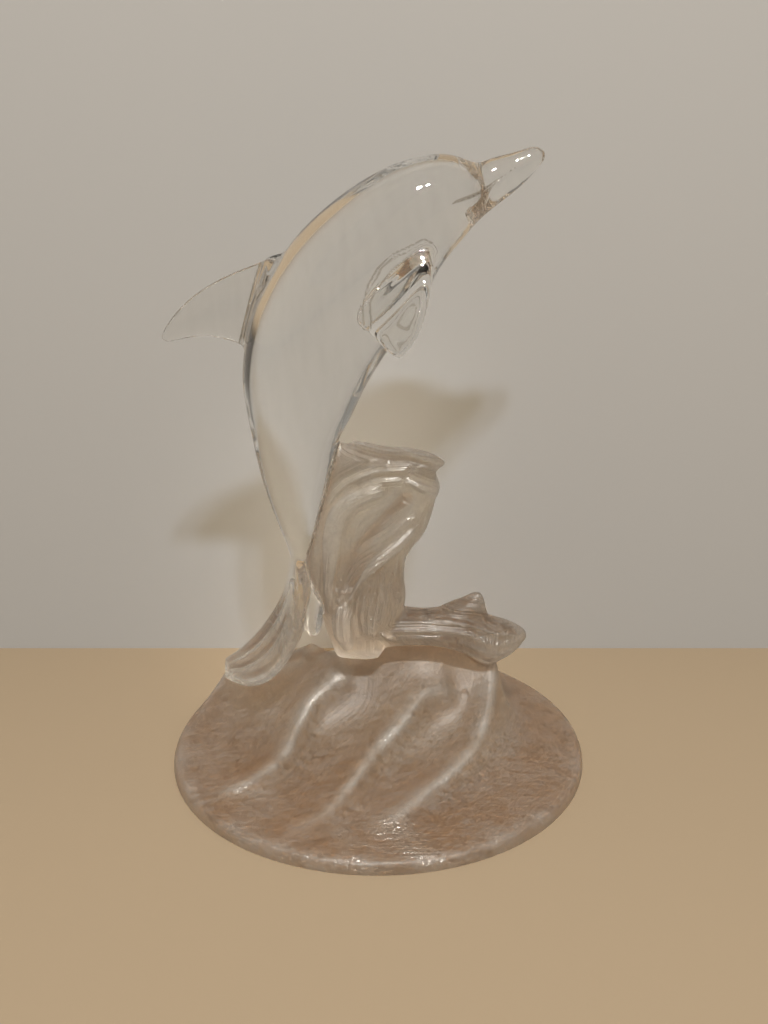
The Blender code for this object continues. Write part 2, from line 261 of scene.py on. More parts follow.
world = bpy.data.worlds.new("studio")
world.use_nodes = True
world.node_tree.nodes.clear()
sky = Wire(world.node_tree)
way = sky.node("TexCoord", {}, {}, output="Generated")
height = sky.node("SeparateXYZ", {}, {"Vector": way}, output="Z")
sideways = sky.node("SeparateXYZ", {}, {"Vector": way}, output="X")
room = sideways.rise(*TURN_TO_LEFT).blend(ROOM_LIGHT, LEFT_LIGHT)
light = height.rise(*TURN_TO_CEILING).blend(room, CEILING_LIGHT)
background = sky.node("Background", {}, {"Color": light, "Strength": 1.0})
world_output = world.node_tree.nodes.new("ShaderNodeOutputWorld")
world.node_tree.links.new(background.socket, world_output.inputs["Surface"])
bpy.context.scene.world = world
print("lamps:", len(LAMP_PLACES))

# %% Light inside the glass
# Light runs round inside thick glass many times, and would turn black if it were cut off.
bpy.context.scene.cycles.max_bounces = GLASS_BOUNCES
bpy.context.scene.cycles.glossy_bounces = GLASS_BOUNCES
bpy.context.scene.cycles.transmission_bounces = GLASS_BOUNCES
print("light may bounce", GLASS_BOUNCES, "times")

# %% [markdown]
# ## The forms
# The figure is a set of overlapping forms, as a modeller in clay would lay them up: a
# body, fins, a wave, a breaking crest and a swell on a round foot. Each is a loft, a
# skin through a row of oval slices. A slice is told by its two edge points, so the rows
# below read like an outline drawn down both sides at once. They are in millimetres, with
# heights over the bedding, where the figure sinks into the swell.

# %% Sizes
FOOT_RADIUS = 55 * MM
FOOT_THICKNESS = 3 * MM
FOOT_EDGE_ROUNDING = 1.8 * MM
SWELL_HEIGHT = 25 * MM
SWELL_CREST_SOFTNESS = 0.5
SWELL_FRONT_RUN = 8 * MM
SWELL_REAR_RUN = 12 * MM
SWELL_END_RUN = 3 * MM
SWELL_RIM_MARGIN = 4 * MM
FIGURE_BEDDING = 3 * MM
FOLD_HEIGHT = 6 * MM
FOLD_STEEP_SIDE = 2.4 * MM
FOLD_GENTLE_SIDE = 6.5 * MM
FOLD_ROUNDNESS = 1.5
MIDPLANE = 6 * MM
BODY_WIDTH = 26 * MM
DORSAL_FIN_THICKNESS = 3.0 * MM
FLIPPER_THICKNESS = 3.6 * MM
FLUKE_THICKNESS = 4.2 * MM
WAVE_THICKNESS = 18 * MM
WAVE_OVERLAP = 2 * MM
BREAKER_DEPTH = 13 * MM
SPUR_THICKNESS = 8 * MM
BREAKER_RIB = 0.7 * MM
FLUKE_RIB = 1.0 * MM
OVAL = 2
PLATE = 3.2
print("the foot is", round(2 * FOOT_RADIUS / MM), "mm across")

# %% The body's slices
# The back's point and the belly's point, each along X and up, and the share of width.
BODY = [
    (39.3, 128.2, 39.5, 126.6, 0.07),
    (37.0, 129.2, 37.4, 123.9, 0.18),
    (32.0, 128.0, 33.4, 119.9, 0.24),
    (27.5, 126.9, 30.2, 117.4, 0.30),
    (23.2, 125.7, 27.0, 115.0, 0.38),
    (19.0, 127.0, 24.2, 112.6, 0.56),
    (14.0, 127.6, 20.8, 108.8, 0.73),
    (3.2, 125.1, 15.0, 101.5, 0.91),
    (-9.5, 117.9, 9.8, 90.8, 0.99),
    (-21.5, 106.8, 2.0, 81.0, 1.00),
    (-30.2, 92.5, -2.8, 73.3, 0.95),
    (-33.9, 76.0, -6.6, 65.5, 0.85),
    (-32.3, 61.0, -10.2, 58.5, 0.72),
    (-29.6, 47.5, -13.0, 46.8, 0.57),
    (-27.0, 39.0, -14.9, 38.6, 0.43),
    (-24.6, 32.0, -16.4, 32.0, 0.31),
    (-23.2, 26.5, -17.3, 26.5, 0.25),
    (-22.9, 20.0, -17.4, 20.0, 0.27),
]
print("body:", len(BODY), "slices")

# %% The slices of the fins and flukes
# Leading edge, trailing edge and share of the thickness.
DORSAL_FIN = [
    (-18.0, 106.0, -27.0, 80.0, 3.4),
    (-25.4, 104.6, -32.6, 82.2, 2.5),
    (-27.4, 103.6, -34.2, 83.2, 1.15),
    (-30.4, 102.4, -36.4, 84.0, 1.0),
    (-36.0, 100.2, -39.8, 84.9, 0.95),
    (-43.0, 96.6, -44.6, 85.1, 0.85),
    (-49.0, 91.8, -49.4, 84.3, 0.7),
    (-52.6, 87.4, -52.2, 83.8, 0.5),
    (-53.8, 85.2, -53.4, 84.2, 0.3),
]
# The same, with each edge's distance out from the mid-plane as its second number.
FLIPPER = [
    (12.6, 4.0, 108.0, -3.0, 6.5, 89.6, 2.6),
    (13.2, 8.5, 107.0, -3.2, 11.5, 89.0, 2.2),
    (13.0, 11.5, 103.4, -2.0, 14.5, 87.6, 1.35),
    (12.4, 14.5, 98.5, -0.4, 17.0, 86.3, 1.0),
    (11.2, 17.8, 93.0, 1.2, 19.0, 84.8, 0.85),
    (9.2, 20.3, 87.6, 2.9, 20.8, 83.4, 0.65),
    (6.2, 22.0, 83.6, 4.6, 22.0, 82.6, 0.4),
]
LEFT_FLUKE = [
    (-19.5, -3.0, 28.0, -21.0, 3.0, 28.5, 1.2),
    (-20.0, -8.0, 19.5, -22.8, 5.0, 21.5, 1.15),
    (-21.6, -11.5, 9.5, -25.2, 6.0, 14.8, 1.1),
    (-24.6, -12.0, 2.6, -29.0, 7.5, 8.0, 1.05),
    (-29.4, -12.0, -2.6, -33.6, 9.0, 1.4, 1.0),
    (-35.0, -9.0, -5.6, -38.8, 10.5, -4.2, 0.9),
    (-42.0, -1.0, -7.6, -43.8, 11.5, -8.0, 0.6),
]
RIGHT_FLUKE = [
    (-21.5, 3.0, 28.0, -19.0, -3.0, 28.0, 1.2),
    (-20.2, -1.0, 20.0, -16.6, -5.0, 20.8, 1.1),
    (-19.4, -4.0, 14.0, -15.0, -8.0, 15.5, 1.0),
    (-18.8, -6.5, 10.2, -15.0, -10.0, 11.8, 0.8),
    (-17.8, -8.0, 8.0, -16.0, -9.6, 9.0, 0.5),
]
FLUKE_RIBS = [0.2, 0.48, 0.78]
print("flipper:", len(FLIPPER), "slices")

# %% The wave's slices and ribs
# The wave's last value is 1 where its left edge keeps to the dolphin's belly.
WAVE = [
    (-11.0, -7.0, 2.0, 0.0, -7.0, 1.5, 0.45, 0),
    (-13.5, -3.0, 6.5, 4.0, -4.0, 7.0, 0.9, 0),
    (-16.0, -1.0, 15.0, 7.2, -2.0, 16.0, 1.0, 0),
    (-17.0, 0.0, 25.0, 6.8, -1.0, 26.0, 0.95, 1),
    (-16.5, 0.5, 35.0, 11.5, -0.5, 34.5, 0.9, 1),
    (-14.5, 1.0, 44.0, 14.6, -1.0, 43.0, 0.82, 1),
    (-13.5, 1.0, 48.5, 16.0, -2.0, 47.2, 0.72, 1),
    (-12.5, 1.0, 52.5, 14.8, -3.0, 51.4, 0.55, 1),
    (-9.0, 1.0, 56.5, 16.8, -5.0, 53.8, 0.32, 1),
    (-7.5, 1.0, 58.4, 17.0, -6.0, 54.8, 0.14, 1),
]
# Each rib: its radius, and its line along X and up. The first is the lip, then come the
# arcs under it, the rolled tongue, the ridge beside it, its round foot and the fan.
WAVE_RIBS = [
    (1.0, [(-7.0, 59.0), (-2.0, 57.6), (3.5, 56.7), (7.5, 56.9), (13.0, 55.8), (17.0, 54.4)]),
    (0.9, [(7.0, 52.4), (0.4, 52.2), (-4.1, 50.6), (-7.9, 48.5), (-10.6, 45.8), (-13.0, 42.0)]),
    (0.8, [(6.0, 49.9), (1.0, 49.6), (-3.5, 48.4), (-8.0, 45.6), (-11.2, 41.8), (-13.5, 37.0)]),
    (3.0, [(1.0, 47.3), (-2.2, 46.6), (-6.4, 44.6), (-9.2, 41.6), (-10.8, 37.6), (-11.5, 33.0),
           (-11.8, 27.0), (-12.2, 21.0), (-12.4, 15.0)]),
    (2.1, [(9.0, 36.5), (5.8, 33.6), (2.4, 31.2), (-0.4, 29.2), (-3.1, 27.0), (-5.4, 24.0),
           (-7.2, 20.0), (-8.6, 15.5)]),
    (3.2, [(-8.6, 19.0), (-9.0, 14.5), (-8.8, 10.0), (-7.8, 5.5)]),
    (1.2, [(7.3, 49.9), (10.7, 48.3), (14.4, 46.6)]),
    (1.0, [(14.6, 43.5), (13.0, 40.0), (11.6, 36.0), (10.4, 32.0)]),
    (0.8, [(2.9, 31.5), (2.6, 27.5), (2.2, 23.0)]),
    (0.8, [(4.6, 31.5), (4.4, 27.5), (4.1, 22.5)]),
    (0.9, [(6.2, 31.5), (6.2, 27.0), (6.0, 21.5)]),
    (0.8, [(-2.6, 24.5), (-3.6, 19.5), (-4.4, 15.0), (-3.8, 10.5)]),
    (0.8, [(-1.0, 25.5), (-1.8, 20.0), (-2.6, 14.5), (-2.4, 9.5)]),
    (0.8, [(0.6, 25.5), (0.4, 20.5), (-0.8, 14.5), (-1.2, 8.5)]),
    (0.7, [(2.0, 22.5), (1.6, 18.0), (0.8, 13.0)]),
    (0.9, [(1.0, 9.5), (3.0, 7.6), (6.0, 7.0), (9.0, 7.4)]),
]
print("wave:", len(WAVE), "slices and", len(WAVE_RIBS), "ribs")

# %% The slices of the breaking crest
BREAKER = [
    (-4.0, -1.0, 13.0, -4.0, -1.0, 2.0, 1.0),
    (6.0, -1.0, 13.4, 6.0, -1.5, 3.0, 1.0),
    (12.0, -1.0, 13.0, 12.0, -2.0, 3.2, 0.95),
    (18.0, -1.0, 13.4, 18.0, -2.0, 2.4, 0.95),
    (24.0, -1.0, 13.0, 23.0, -1.5, 0.6, 1.0),
    (30.0, -0.5, 10.8, 29.0, -0.5, -3.0, 0.95),
    (35.0, 0.0, 9.2, 33.6, 0.0, -1.6, 0.75),
    (39.0, 0.5, 7.0, 38.0, 0.5, 1.6, 0.45),
    (40.4, 0.5, 5.4, 40.0, 0.5, 3.6, 0.2),
]
BREAKER_RIBS = [0.22, 0.42, 0.62, 0.8]
SPUR = [
    (12.0, 9.0, 30.6, 9.0, 1.2),
    (16.5, 13.4, 29.2, 12.4, 1.0),
    (22.6, 16.2, 28.4, 15.6, 0.6),
    (25.2, 17.7, 27.6, 17.5, 0.3),
]
print("breaking crest:", len(BREAKER), "slices")

# %% The lines on the foot
# In shares of the foot's radius, with a share of the height last.
CREST = [
    (-0.80, 0.47, 0.32),
    (-0.68, 0.38, 0.42),
    (-0.47, 0.24, 0.60),
    (-0.22, 0.17, 0.80),
    (0.07, 0.17, 0.98),
    (0.36, 0.18, 1.00),
    (0.55, 0.18, 0.78),
]
FOLDS = [
    [(-0.17, 0.05, 0.6), (-0.32, -0.04, 1.0), (-0.38, -0.16, 0.95), (-0.44, -0.34, 0.7),
     (-0.55, -0.46, 0.5), (-0.66, -0.53, 0.3), (-0.79, -0.54, 0.0)],
    [(0.33, -0.02, 0.6), (0.22, -0.06, 1.0), (0.10, -0.19, 0.95), (-0.02, -0.34, 0.8),
     (-0.10, -0.50, 0.6), (-0.17, -0.63, 0.45), (-0.26, -0.74, 0.3), (-0.42, -0.82, 0.0)],
    [(0.60, 0.15, 1.0), (0.55, -0.04, 1.0), (0.48, -0.22, 0.8), (0.36, -0.41, 0.6),
     (0.24, -0.54, 0.45), (0.11, -0.69, 0.3), (-0.04, -0.82, 0.0)],
    [(-0.35, 0.26, 0.8), (-0.44, 0.42, 1.0), (-0.36, 0.60, 0.8), (-0.24, 0.78, 0.0)],
    [(0.06, 0.24, 0.8), (-0.04, 0.42, 1.0), (0.04, 0.62, 0.8), (0.18, 0.84, 0.0)],
    [(0.42, 0.26, 0.8), (0.40, 0.42, 0.9), (0.50, 0.56, 0.7), (0.62, 0.66, 0.0)],
]
print("folds on the swell:", len(FOLDS))

# %% [markdown]
# ## Lofting
# A smooth curve is put through the rows and read at many even steps. Each step becomes
# a ring, made as a circle with a matrix that stretches it to the slice's height and
# thickness, and bridge_loops joins each ring to the one before. Lofting keeps the slices
# few and easy to change, which no box modelling would.


# %% Smooth curves
def add_to(form, piece):
    """Put a finished bmesh into another one, and free it."""
    mesh = bpy.data.meshes.new("piece")
    piece.to_mesh(mesh)
    piece.free()
    form.from_mesh(mesh)
    bpy.data.meshes.remove(mesh)


def smooth_rows(rows, steps):
    """Put a smooth curve through rows of numbers and read it at even steps."""
    rows = np.array(rows, dtype=float)
    gaps = np.sqrt(np.linalg.norm(np.diff(rows[:, :-1], axis=0), axis=1))
    places = np.concatenate([[0.0], np.cumsum(gaps)])
    slopes = np.gradient(rows, places, axis=0)
    smooth = []
    for place in np.linspace(0.0, places[-1], steps):
        k = min(np.searchsorted(places, place, side="right") - 1, len(rows) - 2)
        gap = places[k + 1] - places[k]
        t = (place - places[k]) / gap
        smooth.append(
            (2 * t**3 - 3 * t**2 + 1) * rows[k]
            + (t**3 - 2 * t**2 + t) * gap * slopes[k]
            + (3 * t**2 - 2 * t**3) * rows[k + 1]
            + (t**3 - t**2) * gap * slopes[k + 1]
        )
    return np.array(smooth)


def squared(value, power):
    """A cosine or sine turned into that of a fuller oval, with flatter faces."""
    return math.copysign(abs(value) ** (2 / power), value)


print("the slice half way down the body:", smooth_rows(BODY, 3)[1].round(1))


# %% The loft
def loft(form, slices, steps, sides, power=OVAL):
    """Add a closed form through oval slices: one edge, the other edge, thickness."""
    smooth = smooth_rows(slices, steps)
    centres = (smooth[:, 0:3] + smooth[:, 3:6]) / 2
    runs = np.gradient(centres, axis=0)
    skin = bmesh.new()
    last_ring = None
    for number, (row, centre, run) in enumerate(zip(smooth, centres, runs)):
        half_chord = Vector(row[0:3] - row[3:6]) / 2
        across = half_chord.cross(Vector(run)).normalized()
        half_thick = across * row[6] / 2
        along = half_chord.cross(half_thick).normalized()
        place = Matrix((half_chord, half_thick, along)).transposed().to_4x4()
        place.translation = Vector(centre)
        is_end = number in (0, steps - 1)
        made = bmesh.ops.create_circle(skin, cap_ends=is_end, segments=sides, radius=1.0)
        for vert in made["verts"]:
            vert.co.xy = squared(vert.co.x, power), squared(vert.co.y, power)
        bmesh.ops.transform(skin, matrix=place, verts=made["verts"])
        ring = {edge for vert in made["verts"] for edge in vert.link_edges}
        if last_ring:
            bmesh.ops.bridge_loops(skin, edges=list(last_ring | ring))
        last_ring = ring
    add_to(form, skin)


print("a plate's slice reaches", round(squared(math.sqrt(0.5), PLATE), 2), "at its corners")


# %% Slices from rows
def figure_point(x, out, z):
    """A point given in millimetres from the mid-plane and the bedding, in metres."""
    bedding = FOOT_THICKNESS + SWELL_HEIGHT - FIGURE_BEDDING
    return (x * MM, MIDPLANE + out * MM, bedding + z * MM)


def flat_slices(rows, thickness):
    """Slices whose two edges both lie on the mid-plane."""
    return [
        (*figure_point(ax, 0, az), *figure_point(bx, 0, bz), share * thickness)
        for ax, az, bx, bz, share in rows
    ]


def free_slices(rows, thickness, side=1):
    """Slices whose edges lie anywhere, mirrored across the mid-plane by side."""
    return [
        (
            *figure_point(ax, side * ay, az),
            *figure_point(bx, side * by, bz),
            share * thickness,
        )
        for ax, ay, az, bx, by, bz, share in rows
    ]


print("the figure's own origin in mm:", [round(c / MM, 1) for c in figure_point(0, 0, 0)])

# %% [markdown]
# ## The dolphin
# Six forms overlap: the body, the dorsal fin, two flippers and two flukes. They are
# kept in a bmesh of their own, because the polished finish will follow them later.


# %% Ribs along a form
RIB_TIP = 0.06
RIB_FULLNESS = 0.6
RIB_STEPS = 4
RIB_SIDES = 10


def add_rib(form, points, radius):
    """Add a round rib along a line, thinner towards both of its ends."""
    points = np.array(points)
    runs = np.gradient(points, axis=0)
    swell = np.sin(np.pi * np.linspace(RIB_TIP, 1 - RIB_TIP, len(points))) ** RIB_FULLNESS
    slices = []
    for point, run, size in zip(points, runs, swell):
        across = np.cross(run, (0.0, 1.0, 0.0))
        across *= radius * size / np.linalg.norm(across)
        slices.append((*(point + across), *(point - across), 2 * radius * size))
    loft(form, slices, steps=RIB_STEPS * len(points), sides=RIB_SIDES)


def add_face_rib(form, slices, share, radius, side, power=OVAL):
    """Add a rib along one face of a lofted form, at a share of the way across it."""
    smooth = smooth_rows(slices, 14)
    starts, ends, thick = smooth[:, 0:3], smooth[:, 3:6], smooth[:, 6]
    middles = starts + share * (ends - starts)
    runs = np.gradient((starts + ends) / 2, axis=0)
    normals = np.cross(starts - ends, runs)
    normals /= np.linalg.norm(normals, axis=1)[:, None]
    lift = side * thick / 2 * (1 - abs(2 * share - 1) ** power) ** (1 / power)
    points = middles + normals * lift[:, None]
    add_rib(form, points[1:-1], radius)


print("ribs have", RIB_SIDES, "sides")

# %% The dolphin's forms
dolphin_form = bmesh.new()
loft(dolphin_form, flat_slices(BODY, BODY_WIDTH), steps=200, sides=72)
dorsal_fin = flat_slices(DORSAL_FIN, DORSAL_FIN_THICKNESS)
loft(dolphin_form, dorsal_fin, steps=90, sides=64, power=PLATE)
for side in (-1, 1):
    flipper = free_slices(FLIPPER, FLIPPER_THICKNESS, side)
    loft(dolphin_form, flipper, steps=64, sides=56, power=PLATE)
left_fluke = free_slices(LEFT_FLUKE, FLUKE_THICKNESS)
loft(dolphin_form, left_fluke, steps=64, sides=48, power=PLATE)
for share in FLUKE_RIBS:
    add_face_rib(dolphin_form, left_fluke, share, FLUKE_RIB, side=1, power=PLATE)
loft(dolphin_form, free_slices(RIGHT_FLUKE, FLUKE_THICKNESS), steps=32, sides=32)
bmesh.ops.recalc_face_normals(dolphin_form, faces=dolphin_form.faces[:])
print("dolphin forms:", len(dolphin_form.faces), "faces")

# %% [markdown]
# ## The water
# The wave's left edge is looked up on the belly, so that it always reaches the glass of
# the dolphin. Round ribs laid on its faces become the lines of running water.


# %% Slices and ribs of the wave
LOWER_BODY = 9


def belly_at(height):
    """Where the belly lies along X at a height over the bedding, in millimetres."""
    smooth = smooth_rows(BODY, 120)
    lower = smooth[smooth[:, 3] < BODY[LOWER_BODY][3]]
    return np.interp(height, lower[::-1, 3], lower[::-1, 2])


def wave_slices():
    rows = []
    for ax, ay, az, bx, by, bz, share, keeps_to_belly in WAVE:
        left = belly_at(az) - WAVE_OVERLAP / MM if keeps_to_belly else ax
        rows.append((left, ay, az, bx, by, bz, share))
    return free_slices(rows, WAVE_THICKNESS)


def spur_slices():
    rows = [(ax, -1.0, az, bx, -1.0, bz, share) for ax, az, bx, bz, share in SPUR]
    return free_slices(rows, SPUR_THICKNESS)


def add_wave_ribs(form):
    """Add the ribs of running water to both faces of the wave."""
    smooth = smooth_rows(wave_slices(), 60)
    heights = (smooth[:, 2] + smooth[:, 5]) / 2
    for side in (-1, 1):
        for radius, line in WAVE_RIBS:
            points = []
            for x, z in line:
                x, _, z = figure_point(x, 0, z)
                left, left_y, _, right, right_y, _, thick = (
                    np.interp(z, heights, column) for column in smooth.T
                )
                share = np.clip((x - left) / (right - left), 0, 1)
                middle = left_y + share * (right_y - left_y)
                y = middle + side * thick * np.sqrt(share * (1 - share))
                points.append((x, y, z))
            add_rib(form, points, radius * MM)


print("the belly half way up the wave lies at", round(belly_at(30), 1), "mm")

# %% The wave and its breaking crest
water_form = bmesh.new()
loft(water_form, wave_slices(), steps=90, sides=64)
add_wave_ribs(water_form)
breaker = free_slices(BREAKER, BREAKER_DEPTH)
loft(water_form, breaker, steps=64, sides=48)
for share in BREAKER_RIBS:
    for side in (-1, 1):
        add_face_rib(water_form, breaker, share, BREAKER_RIB, side)
loft(water_form, spur_slices(), steps=32, sides=40)
print("wave and crest:", len(water_form.faces), "faces")


# %% [markdown]
# ## The swell and the foot
# The foot is a flat sheet pressed from a square grid into a disc, so that it has no pole
# in the middle. Its upper face is a height over each place: a rounded rim, a swell that
# falls away from a crest line, and folds that run down its front.


# %% Distances to a line
def beside_line(line, x, y):
    """How far each point lies across a line and past its ends, on which side of it,
    and the line's own value at the nearest place."""
    distance = np.full(x.shape, np.inf)
    past = np.zeros(x.shape)
    side = np.zeros(x.shape)
    value = np.zeros(x.shape)
    last = len(line) - 2
    for number, (start, end) in enumerate(zip(line, line[1:])):
        run_x, run_y = end[0] - start[0], end[1] - start[1]
        length = np.hypot(run_x, run_y)
        from_x, from_y = x - start[0], y - start[1]
        t = (from_x * run_x + from_y * run_y) / length**2
        before = np.maximum(-t, 0) if number == 0 else 0
        beyond = np.maximum(t - 1, 0) if number == last else 0
        t = np.clip(t, 0, 1)
        gap = np.hypot(from_x - t * run_x, from_y - t * run_y)
        nearer = gap < distance
        distance = np.where(nearer, gap, distance)
        past = np.where(nearer, (before + beyond) * length, past)
        side = np.where(nearer, np.sign(run_x * from_y - run_y * from_x), side)
        value = np.where(nearer, start[2] + t * (end[2] - start[2]), value)
    across = np.sqrt(np.maximum(distance**2 - past**2, 0))
    return across, past, side, value


middle = np.zeros(1)
crest_gap = beside_line(CREST, middle, middle)[0][0]
print("the swell's crest passes", round(crest_gap, 2), "radii from the foot's middle")


# %% The foot's upper face
def foot_line(points):
    return smooth_rows(points, 8 * len(points)) * (FOOT_RADIUS, FOOT_RADIUS, 1.0)


def foot_surface(x, y):
    """Height of the foot's upper face, with the swell and its folds."""
    inward = FOOT_RADIUS - np.hypot(x, y)
    across, past, side, share = beside_line(foot_line(CREST), x, y)
    run = np.where(side < 0, SWELL_FRONT_RUN, SWELL_REAR_RUN)
    reach = np.hypot(across / run, past / SWELL_END_RUN)
    drop = np.hypot(reach, SWELL_CREST_SOFTNESS) - SWELL_CREST_SOFTNESS
    rise = SWELL_HEIGHT * share * np.exp(-drop)
    for points in FOLDS:
        across, past, side, share = beside_line(foot_line(points), x, y)
        slope = np.where(side > 0, FOLD_STEEP_SIDE, FOLD_GENTLE_SIDE)
        reach = np.hypot(across / slope, past / FOLD_STEEP_SIDE)
        rise = rise + FOLD_HEIGHT * share * np.exp(-(reach**FOLD_ROUNDNESS))
    margin = np.clip(inward / SWELL_RIM_MARGIN, 0, 1)
    rise = rise * margin**2 * (3 - 2 * margin)
    curl = np.clip(1 - inward / FOOT_EDGE_ROUNDING, 0, 1)
    return FOOT_THICKNESS - FOOT_EDGE_ROUNDING * (1 - np.sqrt(1 - curl**2)) + rise


middle_height = foot_surface(middle, middle)[0]
print("height over the foot's middle:", round(middle_height / MM, 1), "mm")

# %% The foot
FOOT_CELLS = 150
TRIM_DEPTH = 3 * MM


def add_foot(form):
    """Add the foot as a round sheet with its upper face shaped, closed below."""
    made = bmesh.ops.create_grid(
        form, x_segments=FOOT_CELLS, y_segments=FOOT_CELLS, size=1.0
    )
    top = made["verts"]
    u, v = np.array([vert.co.xy for vert in top]).T
    x = FOOT_RADIUS * u * np.sqrt(1 - v**2 / 2)
    y = FOOT_RADIUS * v * np.sqrt(1 - u**2 / 2)
    for vert, place in zip(top, zip(x, y, foot_surface(x, y))):
        vert.co = place
    faces = list({face for vert in top for face in vert.link_faces})
    lower = bmesh.ops.extrude_face_region(form, geom=faces)["geom"]
    for item in lower:
        if isinstance(item, bmesh.types.BMVert):
            item.co.z = -TRIM_DEPTH


add_foot(water_form)
bmesh.ops.recalc_face_normals(water_form, faces=water_form.faces[:])
print("water forms:", len(water_form.faces), "faces")

# %% [markdown]
# ## One skin
# A voxel remesh melts all of these forms into one closed skin, and a little smoothing
# softens the joins, as fire does to pressed glass. The mesh has to stay fine, because
# clear glass shows every facet.

# %% Melt the forms together
SKIN_CELL = 0.5 * MM
SKIN_PASSES = 10
PASS_STRENGTH = 0.5


def evaluated_mesh(thing):
    graph = bpy.context.evaluated_depsgraph_get()
    return bpy.data.meshes.new_from_object(thing.evaluated_get(graph))


def mesh_of(*forms):
    """One mesh that holds all the given forms."""
    both = bmesh.new()
    for form in forms:
        add_to(both, form.copy())
    mesh = bpy.data.meshes.new("figurine")
    both.to_mesh(mesh)
    both.free()
    return mesh


figurine = bpy.data.objects.new("glass_dolphin", mesh_of(dolphin_form, water_form))
bpy.context.scene.collection.objects.link(figurine)
remesh = figurine.modifiers.new("one skin", "REMESH")
remesh.mode = "VOXEL"
remesh.voxel_size = SKIN_CELL
soften = figurine.modifiers.new("soft joins", "SMOOTH")
soften.factor = PASS_STRENGTH
soften.iterations = SKIN_PASSES
figurine.data = evaluated_mesh(figurine)
figurine.modifiers.clear()
print("skin:", len(figurine.data.polygons), "faces")

# %% [markdown]
# ## Which glass is polished
# Each point of the skin is nearer to the dolphin's forms or to the water's. That makes
# a mask from 0 on the dolphin to 1 on the water, kept on the mesh as an attribute for
# the finish to read. The flukes turn half frosted towards the foot.

# %% The satin mask
MASK_BLEND = 1.0 * MM
FLUKE_FROST = 0.45
FROST_TOP = 46 * MM
FROST_FADE = 16 * MM


def distances(points, form):
    tree = BVHTree.FromBMesh(form)
    return np.array([tree.find_nearest(point)[3] for point in points])


def keep_on_mesh(thing, name, values):
    """Store one number for each point of a mesh, for the finish to read."""
    attribute = thing.data.attributes.new(name, "FLOAT", "POINT")
    attribute.data.foreach_set("value", values.astype(np.float32))
    print(name, "runs from", round(float(values.min()), 2), "to", round(float(values.max()), 2))


skin_points = [vert.co.copy() for vert in figurine.data.vertices]
to_dolphin = distances(skin_points, dolphin_form)
to_water = distances(skin_points, water_form)
satin = np.clip((to_dolphin - to_water) / MASK_BLEND + 0.5, 0, 1)
heights = np.array([point.z for point in skin_points])
frost = FLUKE_FROST * np.clip((FROST_TOP - heights) / FROST_FADE, 0, 1)
satin = np.maximum(satin, frost)
keep_on_mesh(figurine, "satin", satin)

# %% [markdown]
# ## The hollow of the wave
# Beside the rolled tongue of water the wave is scooped out. The points of the skin near
# the middle line of that scoop are pushed in along their normals.

# %% Scoop the hollow
HOLLOW = [(7.0, 44.5), (2.5, 40.5), (-1.5, 36.5), (-4.8, 32.5), (-7.0, 28.0), (-8.4, 23.0)]
HOLLOW_DEPTH = 3.0 * MM
HOLLOW_WIDTH = 3.0 * MM


def read_vectors(mesh, name):
    values = np.empty(3 * len(mesh.vertices))
    mesh.vertices.foreach_get(name, values)
    return values.reshape(-1, 3)


def side_line(points):
    """A line drawn on the side of the figure, in metres along X and up."""
    return [(*figure_point(x, 0, z)[::2], 0.0) for x, z in points]


points = read_vectors(figurine.data, "co")
across, past, _, _ = beside_line(side_line(HOLLOW), points[:, 0], points[:, 2])
push = HOLLOW_DEPTH * np.exp(-(across**2 + past**2) / HOLLOW_WIDTH**2) * satin
points -= read_vectors(figurine.data, "normal") * push[:, None]
figurine.data.vertices.foreach_set("co", points.ravel())
print("hollow pushed in by", round(float(push.max()) / MM, 1), "mm")

# %% [markdown]
# ## Where the water is milky
# On the real piece the crests of the satin glass look white and its hollows look clear,
# because the finish bites harder on what stands out. How far each point stands out is
# its height over a much smoother copy of the skin. Beside each fold a milky band is
# added, sharp on the steep side and soft on the gentle one.

# %% How far each point stands out
SMOOTHER_PASSES = 200
CREST_REACH = 0.9 * MM
RIM_FADE = 6 * MM
RIM_SHARE = 0.1
STANDING_WATER = 33 * MM
BAND_SHARP_SIDE = 1.0 * MM
BAND_SOFT_SIDE = 3.4 * MM
BAND_MILK = 0.6

soften = figurine.modifiers.new("smoother copy", "SMOOTH")
soften.factor = PASS_STRENGTH
soften.iterations = SMOOTHER_PASSES
smoother = evaluated_mesh(figurine)
figurine.modifiers.clear()
stands_out = points - read_vectors(smoother, "co")
stands_out = (stands_out * read_vectors(smoother, "normal")).sum(axis=1)
bpy.data.meshes.remove(smoother)
inside_rim = np.clip((FOOT_RADIUS - np.hypot(points[:, 0], points[:, 1])) / RIM_FADE, 0, 1)
stands_out *= RIM_SHARE + (1 - RIM_SHARE) * inside_rim
crest = np.clip(stands_out / CREST_REACH, -1, 1)
for line in FOLDS:
    across, past, side, share = beside_line(foot_line(line), points[:, 0], points[:, 1])
    width = np.where(side > 0, BAND_SHARP_SIDE, BAND_SOFT_SIDE)
    band = share**0.5 * np.exp(-((across / width) ** 2) - (past / BAND_SOFT_SIDE) ** 2)
    crest = np.where(points[:, 2] < STANDING_WATER, np.maximum(crest, BAND_MILK * band), crest)
# In the finish, this number also paints shade into the hollows and a paler painted highlight on
# the crests.
keep_on_mesh(figurine, "crest", crest)

# %% [markdown]
# ## Fewer faces on the satin glass
# Only the polished glass needs its fine mesh. A Decimate modifier with a vertex group
# thins the satin glass, whose blur hides the wider faces.

# %% Thin the satin glass
SHARE_KEPT = 0.46
SATIN_FIRST = 10.0

